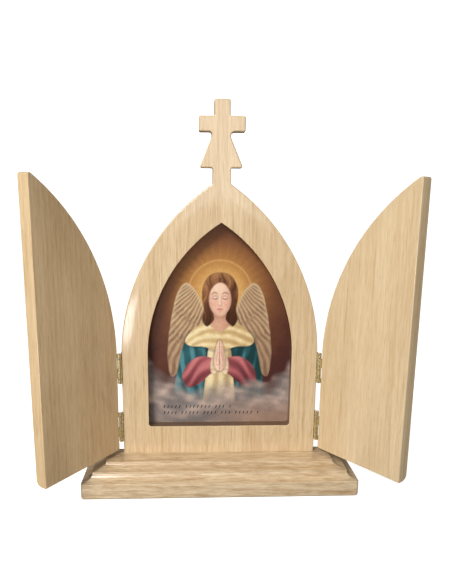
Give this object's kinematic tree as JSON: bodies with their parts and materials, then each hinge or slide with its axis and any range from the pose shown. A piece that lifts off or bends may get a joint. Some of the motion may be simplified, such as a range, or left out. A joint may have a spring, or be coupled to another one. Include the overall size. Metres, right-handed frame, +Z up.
{
  "type": "triptych altarpiece",
  "caption": "Small wooden triptych altarpiece: lancet board with a cross, a picture behind its window, and two hinged wings that close over it, on a moulded plinth.",
  "frame": {"origin": "on the plinth's flat underside, below the middle of the centre board", "axes": "+Z up, the picture faces -Y, +X to the right of someone looking at the picture"},
  "size_m": [0.2733, 0.0804, 0.3051],
  "materials": {
    "wood": "pale blond hardwood under a clear gloss varnish",
    "print": "glossy printed face on plain brown hardboard",
    "brass": "polished"
  },
  "bodies": {
    "shrine": {"base": "wood", "centre_panel": "wood", "picture": "print", "left_upper_hinge_panel_leaf": "brass", "left_upper_hinge_pin": "brass", "left_upper_hinge_panel_screw_1": "brass", "left_upper_hinge_panel_screw_2": "brass", "left_lower_hinge_panel_leaf": "brass", "left_lower_hinge_pin": "brass", "left_lower_hinge_panel_screw_1": "brass", "left_lower_hinge_panel_screw_2": "brass", "right_upper_hinge_panel_leaf": "brass", "right_upper_hinge_pin": "brass", "right_upper_hinge_panel_screw_1": "brass", "right_upper_hinge_panel_screw_2": "brass", "right_lower_hinge_panel_leaf": "brass", "right_lower_hinge_pin": "brass", "right_lower_hinge_panel_screw_1": "brass", "right_lower_hinge_panel_screw_2": "brass"},
    "left_door": {"left_wing": "wood", "left_upper_hinge_wing_leaf": "brass", "left_upper_hinge_wing_screw_1": "brass", "left_upper_hinge_wing_screw_2": "brass", "left_lower_hinge_wing_leaf": "brass", "left_lower_hinge_wing_screw_1": "brass", "left_lower_hinge_wing_screw_2": "brass"},
    "right_door": {"right_wing": "wood", "right_upper_hinge_wing_leaf": "brass", "right_upper_hinge_wing_screw_1": "brass", "right_upper_hinge_wing_screw_2": "brass", "right_lower_hinge_wing_leaf": "brass", "right_lower_hinge_wing_screw_1": "brass", "right_lower_hinge_wing_screw_2": "brass"}
  },
  "joints": [
    {"name": "left_wing_hinge", "type": "hinge", "parent": "shrine", "child": "left_door", "pos_m": [-0.0815, -0.00595, 0.07225], "axis": [0, 0, -1], "range_deg": [-124, 56]},
    {"name": "right_wing_hinge", "type": "hinge", "parent": "shrine", "child": "right_door", "pos_m": [0.0815, -0.00595, 0.07225], "axis": [0, 0, 1], "range_deg": [-126, 54]}
  ]
}
